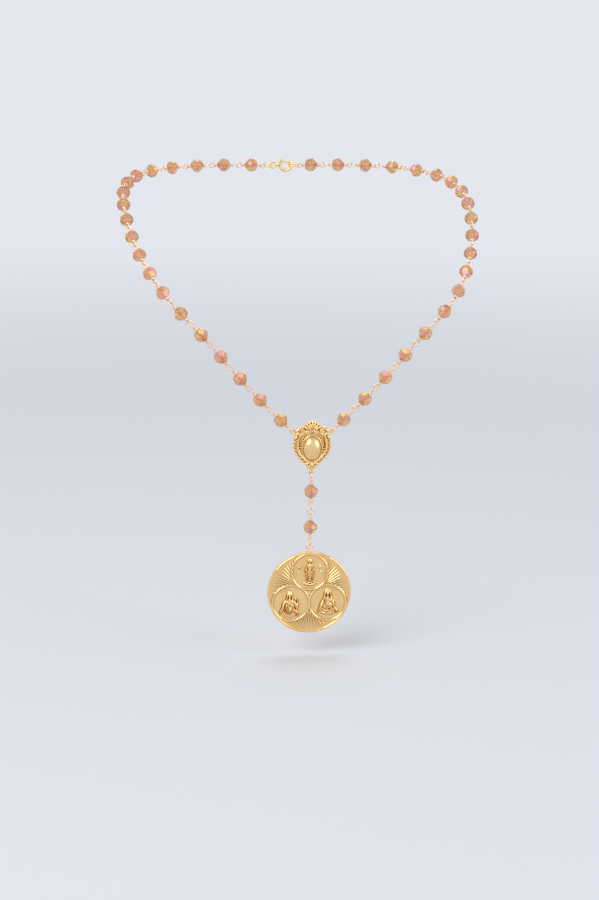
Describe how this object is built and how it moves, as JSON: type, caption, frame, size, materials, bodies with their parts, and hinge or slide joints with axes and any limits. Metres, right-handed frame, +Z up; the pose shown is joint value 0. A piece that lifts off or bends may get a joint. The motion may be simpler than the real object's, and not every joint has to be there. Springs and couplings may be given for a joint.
{
  "type": "rosary necklace",
  "caption": "Rosary necklace: faceted crystal beads on wrapped wire links, a cast centrepiece, a short drop and a round relief medal, closed by a lobster clasp.",
  "frame": {"origin": "middle of the clasp at the nape, where the necklace rests on the back of the neck", "axes": "+Z up, -Y the front with the centrepiece and the medal, +X the wearer's left"},
  "size_m": [0.1576, 0.1293, 0.187],
  "materials": {
    "crystal": "faceted, clear amber with a rainbow coating",
    "wire": "polished rose gold",
    "centrepiece_gold": "cast and gold plated",
    "medal_gold": "struck and polished gold",
    "clasp_gold": "polished gold",
    "spring_steel": "bright spring wire"
  },
  "bodies": {
    "neck_chain": {"neck_wires_right": "wire", "neck_wires_left": "wire", "clasp_jump_ring": "clasp_gold", "clasp_body": "clasp_gold", "clasp_pin": "clasp_gold", "clasp_spring": "spring_steel", "clasp_end_ring": "clasp_gold"},
    "clasp_lever": {"clasp_lever": "clasp_gold"},
    "front_links_5": {"front_wires_5": "wire"},
    "front_links_4": {"front_wires_4": "wire"},
    "front_links_3": {"front_wires_3": "wire"},
    "front_links_2": {"front_wires_2": "wire"},
    "front_links_1": {"front_wires_1": "wire"},
    "centrepiece": {"centrepiece": "centrepiece_gold"},
    "drop_link_1": {"drop_wire_1": "wire"},
    "drop_link_2": {"drop_wire_2": "wire"},
    "medal_ring": {"medal_ring": "wire"},
    "medal": {"medal": "medal_gold"},
    "right_bead_1": {"right_bead_1": "crystal"},
    "left_bead_1": {"left_bead_1": "crystal"},
    "right_bead_2": {"right_bead_2": "crystal"},
    "left_bead_2": {"left_bead_2": "crystal"},
    "right_bead_3": {"right_bead_3": "crystal"},
    "left_bead_3": {"left_bead_3": "crystal"},
    "right_bead_4": {"right_bead_4": "crystal"},
    "left_bead_4": {"left_bead_4": "crystal"},
    "right_bead_5": {"right_bead_5": "crystal"},
    "left_bead_5": {"left_bead_5": "crystal"},
    "right_bead_6": {"right_bead_6": "crystal"},
    "left_bead_6": {"left_bead_6": "crystal"},
    "right_bead_7": {"right_bead_7": "crystal"},
    "left_bead_7": {"left_bead_7": "crystal"},
    "right_bead_8": {"right_bead_8": "crystal"},
    "left_bead_8": {"left_bead_8": "crystal"},
    "right_bead_9": {"right_bead_9": "crystal"},
    "left_bead_9": {"left_bead_9": "crystal"},
    "right_bead_10": {"right_bead_10": "crystal"},
    "left_bead_10": {"left_bead_10": "crystal"},
    "right_bead_11": {"right_bead_11": "crystal"},
    "left_bead_11": {"left_bead_11": "crystal"},
    "right_bead_12": {"right_bead_12": "crystal"},
    "left_bead_12": {"left_bead_12": "crystal"},
    "right_bead_13": {"right_bead_13": "crystal"},
    "left_bead_13": {"left_bead_13": "crystal"},
    "right_bead_14": {"right_bead_14": "crystal"},
    "left_bead_14": {"left_bead_14": "crystal"},
    "right_bead_15": {"right_bead_15": "crystal"},
    "left_bead_15": {"left_bead_15": "crystal"},
    "right_bead_16": {"right_bead_16": "crystal"},
    "left_bead_16": {"left_bead_16": "crystal"},
    "right_bead_17": {"right_bead_17": "crystal"},
    "left_bead_17": {"left_bead_17": "crystal"},
    "right_bead_18": {"right_bead_18": "crystal"},
    "left_bead_18": {"left_bead_18": "crystal"},
    "right_bead_19": {"right_bead_19": "crystal"},
    "left_bead_19": {"left_bead_19": "crystal"},
    "right_bead_20": {"right_bead_20": "crystal"},
    "left_bead_20": {"left_bead_20": "crystal"},
    "drop_bead_1": {"drop_bead_1": "crystal"},
    "drop_bead_2": {"drop_bead_2": "crystal"}
  },
  "joints": [
    {"name": "clasp_lever_open", "type": "hinge", "parent": "neck_chain", "child": "clasp_lever", "pos_m": [0.00031, 0, 0.00189], "axis": [0, 1, 0], "range_deg": [0, 22], "stiffness_Nm_per_rad": 0.0002, "springref_deg": -11.46},
    {"name": "front_links_5_swing", "type": "hinge", "parent": "neck_chain", "child": "front_links_5", "pos_m": [0, -0.12266, -0.04898], "axis": [1, 0, 0], "range_deg": [-15, 20]},
    {"name": "front_links_4_swing", "type": "hinge", "parent": "front_links_5", "child": "front_links_4", "pos_m": [0, -0.12266, -0.05821], "axis": [1, 0, 0], "range_deg": [-20, 20]},
    {"name": "front_links_3_swing", "type": "hinge", "parent": "front_links_4", "child": "front_links_3", "pos_m": [0, -0.12266, -0.06783], "axis": [1, 0, 0], "range_deg": [-20, 20]},
    {"name": "front_links_2_swing", "type": "hinge", "parent": "front_links_3", "child": "front_links_2", "pos_m": [0, -0.12266, -0.07716], "axis": [1, 0, 0], "range_deg": [-20, 20]},
    {"name": "front_links_1_swing", "type": "hinge", "parent": "front_links_2", "child": "front_links_1", "pos_m": [0, -0.12266, -0.0862], "axis": [1, 0, 0], "range_deg": [-20, 20]},
    {"name": "centrepiece_swing", "type": "hinge", "parent": "front_links_1", "child": "centrepiece", "pos_m": [0, -0.12266, -0.09385], "axis": [1, 0, 0], "range_deg": [-25, 25]},
    {"name": "drop_link_1_swing", "type": "hinge", "parent": "centrepiece", "child": "drop_link_1", "pos_m": [0, -0.12266, -0.1142], "axis": [1, 0, 0], "range_deg": [-60, 60]},
    {"name": "drop_link_2_sway", "type": "hinge", "parent": "drop_link_1", "child": "drop_link_2", "pos_m": [0, -0.12266, -0.13003], "axis": [0, 1, 0], "range_deg": [-60, 60]},
    {"name": "medal_ring_swing", "type": "hinge", "parent": "drop_link_2", "child": "medal_ring", "pos_m": [0, -0.12266, -0.14378], "axis": [1, 0, 0], "range_deg": [-60, 60]},
    {"name": "medal_sway", "type": "hinge", "parent": "medal_ring", "child": "medal", "pos_m": [0, -0.12266, -0.14586], "axis": [0, 1, 0], "range_deg": [-60, 60]},
    {"name": "spin_right_1", "type": "hinge", "parent": "front_links_1", "child": "right_bead_1", "pos_m": [0.01332, -0.12266, -0.09002], "axis": [0.7193, 0, 0.6947], "continuous": true},
    {"name": "spin_left_1", "type": "hinge", "parent": "front_links_1", "child": "left_bead_1", "pos_m": [-0.01332, -0.12266, -0.09002], "axis": [-0.7193, 0, 0.6947], "continuous": true},
    {"name": "spin_right_2", "type": "hinge", "parent": "front_links_2", "child": "right_bead_2", "pos_m": [0.02223, -0.12266, -0.08112], "axis": [0.695, 0, 0.719], "continuous": true},
    {"name": "spin_left_2", "type": "hinge", "parent": "front_links_2", "child": "left_bead_2", "pos_m": [-0.02223, -0.12266, -0.08112], "axis": [-0.695, 0, 0.719], "continuous": true},
    {"name": "spin_right_3", "type": "hinge", "parent": "front_links_3", "child": "right_bead_3", "pos_m": [0.03082, -0.12266, -0.07192], "axis": [0.6698, 0, 0.7425], "continuous": true},
    {"name": "spin_left_3", "type": "hinge", "parent": "front_links_3", "child": "left_bead_3", "pos_m": [-0.03082, -0.12266, -0.07192], "axis": [-0.6698, 0, 0.7425], "continuous": true},
    {"name": "spin_right_4", "type": "hinge", "parent": "front_links_4", "child": "right_bead_4", "pos_m": [0.0391, -0.12266, -0.06242], "axis": [0.6438, 0, 0.7652], "continuous": true},
    {"name": "spin_left_4", "type": "hinge", "parent": "front_links_4", "child": "left_bead_4", "pos_m": [-0.0391, -0.12266, -0.06242], "axis": [-0.6438, 0, 0.7652], "continuous": true},
    {"name": "spin_right_5", "type": "hinge", "parent": "front_links_5", "child": "right_bead_5", "pos_m": [0.04745, -0.12266, -0.053], "axis": [0.6829, 0, 0.7305], "continuous": true},
    {"name": "spin_left_5", "type": "hinge", "parent": "front_links_5", "child": "left_bead_5", "pos_m": [-0.04745, -0.12266, -0.053], "axis": [-0.6829, 0, 0.7305], "continuous": true},
    {"name": "spin_right_6", "type": "hinge", "parent": "neck_chain", "child": "right_bead_6", "pos_m": [0.05589, -0.12009, -0.04436], "axis": [0.6535, 0.4076, 0.6378], "continuous": true},
    {"name": "spin_left_6", "type": "hinge", "parent": "neck_chain", "child": "left_bead_6", "pos_m": [-0.05589, -0.12009, -0.04436], "axis": [-0.6535, 0.4076, 0.6378], "continuous": true},
    {"name": "spin_right_7", "type": "hinge", "parent": "neck_chain", "child": "right_bead_7", "pos_m": [0.06285, -0.11308, -0.03685], "axis": [0.4489, 0.7029, 0.5518], "continuous": true},
    {"name": "spin_left_7", "type": "hinge", "parent": "neck_chain", "child": "left_bead_7", "pos_m": [-0.06285, -0.11308, -0.03685], "axis": [-0.4489, 0.7029, 0.5518], "continuous": true},
    {"name": "spin_right_8", "type": "hinge", "parent": "neck_chain", "child": "right_bead_8", "pos_m": [0.06775, -0.10355, -0.03031], "axis": [0.3287, 0.8094, 0.4867], "continuous": true},
    {"name": "spin_left_8", "type": "hinge", "parent": "neck_chain", "child": "left_bead_8", "pos_m": [-0.06775, -0.10355, -0.03031], "axis": [-0.3287, 0.8094, 0.4867], "continuous": true},
    {"name": "spin_right_9", "type": "hinge", "parent": "neck_chain", "child": "right_bead_9", "pos_m": [0.07134, -0.09313, -0.02423], "axis": [0.2416, 0.845, 0.477], "continuous": true},
    {"name": "spin_left_9", "type": "hinge", "parent": "neck_chain", "child": "left_bead_9", "pos_m": [-0.07134, -0.09313, -0.02423], "axis": [-0.2416, 0.845, 0.477], "continuous": true},
    {"name": "spin_right_10", "type": "hinge", "parent": "neck_chain", "child": "right_bead_10", "pos_m": [0.07382, -0.08232, -0.0183], "axis": [0.1519, 0.8718, 0.4657], "continuous": true},
    {"name": "spin_left_10", "type": "hinge", "parent": "neck_chain", "child": "left_bead_10", "pos_m": [-0.07382, -0.08232, -0.0183], "axis": [-0.1519, 0.8718, 0.4657], "continuous": true},
    {"name": "spin_right_11", "type": "hinge", "parent": "neck_chain", "child": "right_bead_11", "pos_m": [0.07529, -0.0711, -0.01278], "axis": [0.0815, 0.9081, 0.4106], "continuous": true},
    {"name": "spin_left_11", "type": "hinge", "parent": "neck_chain", "child": "left_bead_11", "pos_m": [-0.07529, -0.0711, -0.01278], "axis": [-0.0815, 0.9081, 0.4106], "continuous": true},
    {"name": "spin_right_12", "type": "hinge", "parent": "neck_chain", "child": "right_bead_12", "pos_m": [0.07584, -0.05941, -0.00818], "axis": [0.0062, 0.9477, 0.3192], "continuous": true},
    {"name": "spin_left_12", "type": "hinge", "parent": "neck_chain", "child": "left_bead_12", "pos_m": [-0.07584, -0.05941, -0.00818], "axis": [-0.0062, 0.9477, 0.3192], "continuous": true},
    {"name": "spin_right_13", "type": "hinge", "parent": "neck_chain", "child": "right_bead_13", "pos_m": [0.07506, -0.04735, -0.00476], "axis": [-0.1298, 0.9662, 0.2228], "continuous": true},
    {"name": "spin_left_13", "type": "hinge", "parent": "neck_chain", "child": "left_bead_13", "pos_m": [-0.07506, -0.04735, -0.00476], "axis": [0.1298, 0.9662, 0.2228], "continuous": true},
    {"name": "spin_right_14", "type": "hinge", "parent": "neck_chain", "child": "right_bead_14", "pos_m": [0.07255, -0.03527, -0.00242], "axis": [-0.2699, 0.9513, 0.1489], "continuous": true},
    {"name": "spin_left_14", "type": "hinge", "parent": "neck_chain", "child": "left_bead_14", "pos_m": [-0.07255, -0.03527, -0.00242], "axis": [0.2699, 0.9513, 0.1489], "continuous": true},
    {"name": "spin_right_15", "type": "hinge", "parent": "neck_chain", "child": "right_bead_15", "pos_m": [0.06768, -0.02384, -0.00102], "axis": [-0.5013, 0.8621, 0.0743], "continuous": true},
    {"name": "spin_left_15", "type": "hinge", "parent": "neck_chain", "child": "left_bead_15", "pos_m": [-0.06768, -0.02384, -0.00102], "axis": [0.5013, 0.8621, 0.0743], "continuous": true},
    {"name": "spin_right_16", "type": "hinge", "parent": "neck_chain", "child": "right_bead_16", "pos_m": [0.0601, -0.01392, -0.00031], "axis": [-0.7011, 0.712, 0.0384], "continuous": true},
    {"name": "spin_left_16", "type": "hinge", "parent": "neck_chain", "child": "left_bead_16", "pos_m": [-0.0601, -0.01392, -0.00031], "axis": [0.7011, 0.712, 0.0384], "continuous": true},
    {"name": "spin_right_17", "type": "hinge", "parent": "neck_chain", "child": "right_bead_17", "pos_m": [0.05023, -0.00625, -0.00003], "axis": [-0.8641, 0.5034, 0.005], "continuous": true},
    {"name": "spin_left_17", "type": "hinge", "parent": "neck_chain", "child": "left_bead_17", "pos_m": [-0.05023, -0.00625, -0.00003], "axis": [0.8641, 0.5034, 0.005], "continuous": true},
    {"name": "spin_right_18", "type": "hinge", "parent": "neck_chain", "child": "right_bead_18", "pos_m": [0.0387, -0.00145, 0], "axis": [-0.9659, 0.259, 0], "continuous": true},
    {"name": "spin_left_18", "type": "hinge", "parent": "neck_chain", "child": "left_bead_18", "pos_m": [-0.0387, -0.00145, 0], "axis": [0.9659, 0.259, 0], "continuous": true},
    {"name": "spin_right_19", "type": "hinge", "parent": "neck_chain", "child": "right_bead_19", "pos_m": [0.02633, 0.00068, 0], "axis": [-0.9969, 0.0788, 0], "continuous": true},
    {"name": "spin_left_19", "type": "hinge", "parent": "neck_chain", "child": "left_bead_19", "pos_m": [-0.02633, 0.00068, 0], "axis": [0.9969, 0.0788, 0], "continuous": true},
    {"name": "spin_right_20", "type": "hinge", "parent": "neck_chain", "child": "right_bead_20", "pos_m": [0.01378, 0.00055, 0], "axis": [-0.995, -0.0997, 0], "continuous": true},
    {"name": "spin_left_20", "type": "hinge", "parent": "neck_chain", "child": "left_bead_20", "pos_m": [-0.01378, 0.00055, 0], "axis": [0.995, -0.0997, 0], "continuous": true},
    {"name": "spin_drop_1", "type": "hinge", "parent": "drop_link_1", "child": "drop_bead_1", "pos_m": [0, -0.12266, -0.12108], "axis": [0, 0, 1], "continuous": true},
    {"name": "spin_drop_2", "type": "hinge", "parent": "drop_link_2", "child": "drop_bead_2", "pos_m": [0, -0.12266, -0.13691], "axis": [0, 0, 1], "continuous": true}
  ]
}
